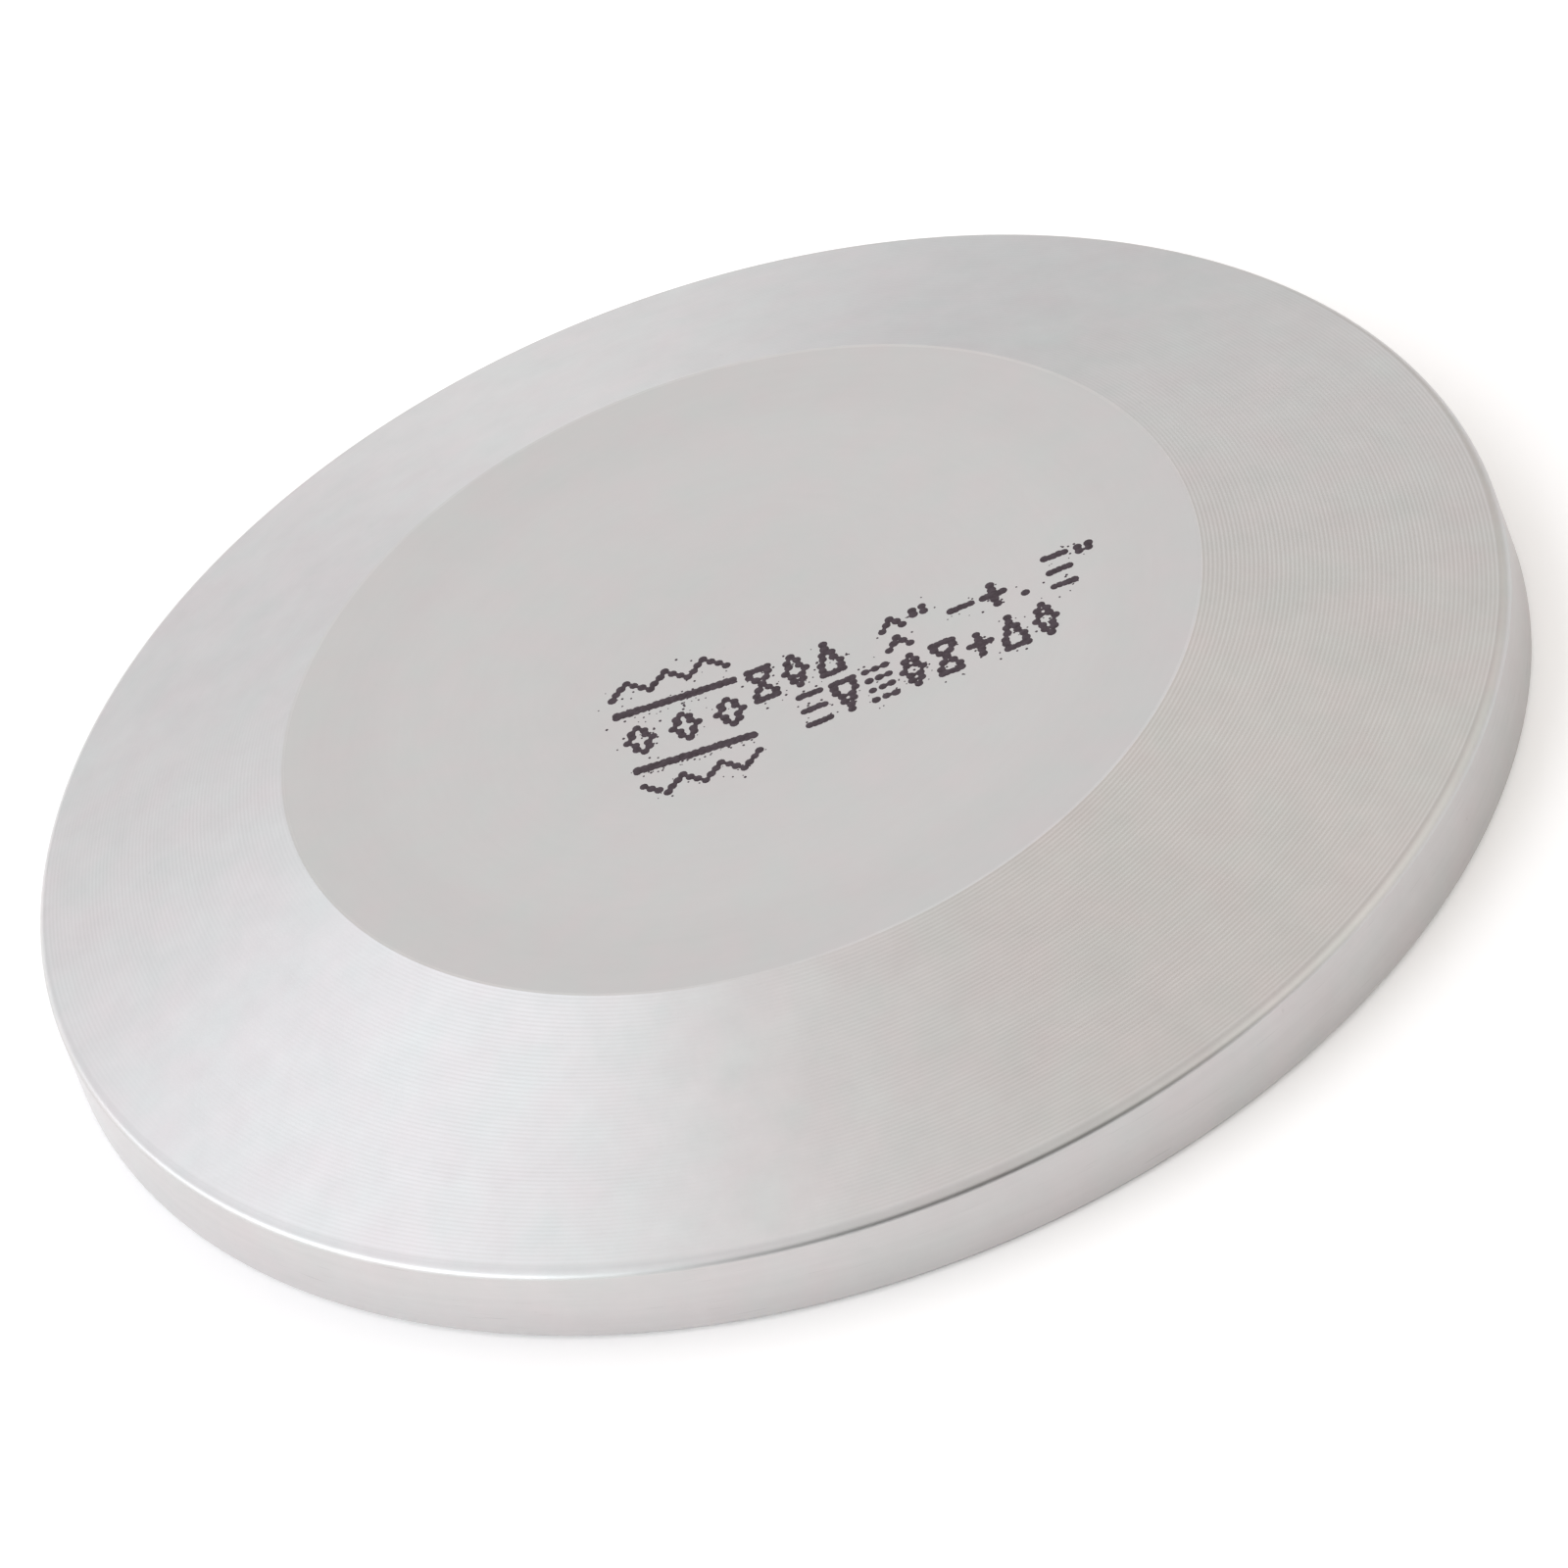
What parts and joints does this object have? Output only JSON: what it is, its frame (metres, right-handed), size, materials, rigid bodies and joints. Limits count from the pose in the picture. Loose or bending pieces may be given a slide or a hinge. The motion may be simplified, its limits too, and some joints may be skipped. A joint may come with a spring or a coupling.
{
  "type": "sanitary clamp end cap",
  "caption": "Solid disc that closes a hygienic tube ferrule: a sloping clamp shoulder and cylindrical rim outside, a flat gasket face with a ring groove inside.",
  "frame": {"origin": "centre of the gasket face, the flat side on which the cap rests and which closes the tube", "axes": "+Z along the turning axis, out of the gasket face's side and up through the outer face; X and Y are free, as the cap is round"},
  "size_m": [0.0506, 0.0506, 0.0063],
  "materials": {
    "steel": "satin",
    "ink": "matte"
  },
  "bodies": {
    "root": {"end_cap": "steel"}
  },
  "joints": []
}
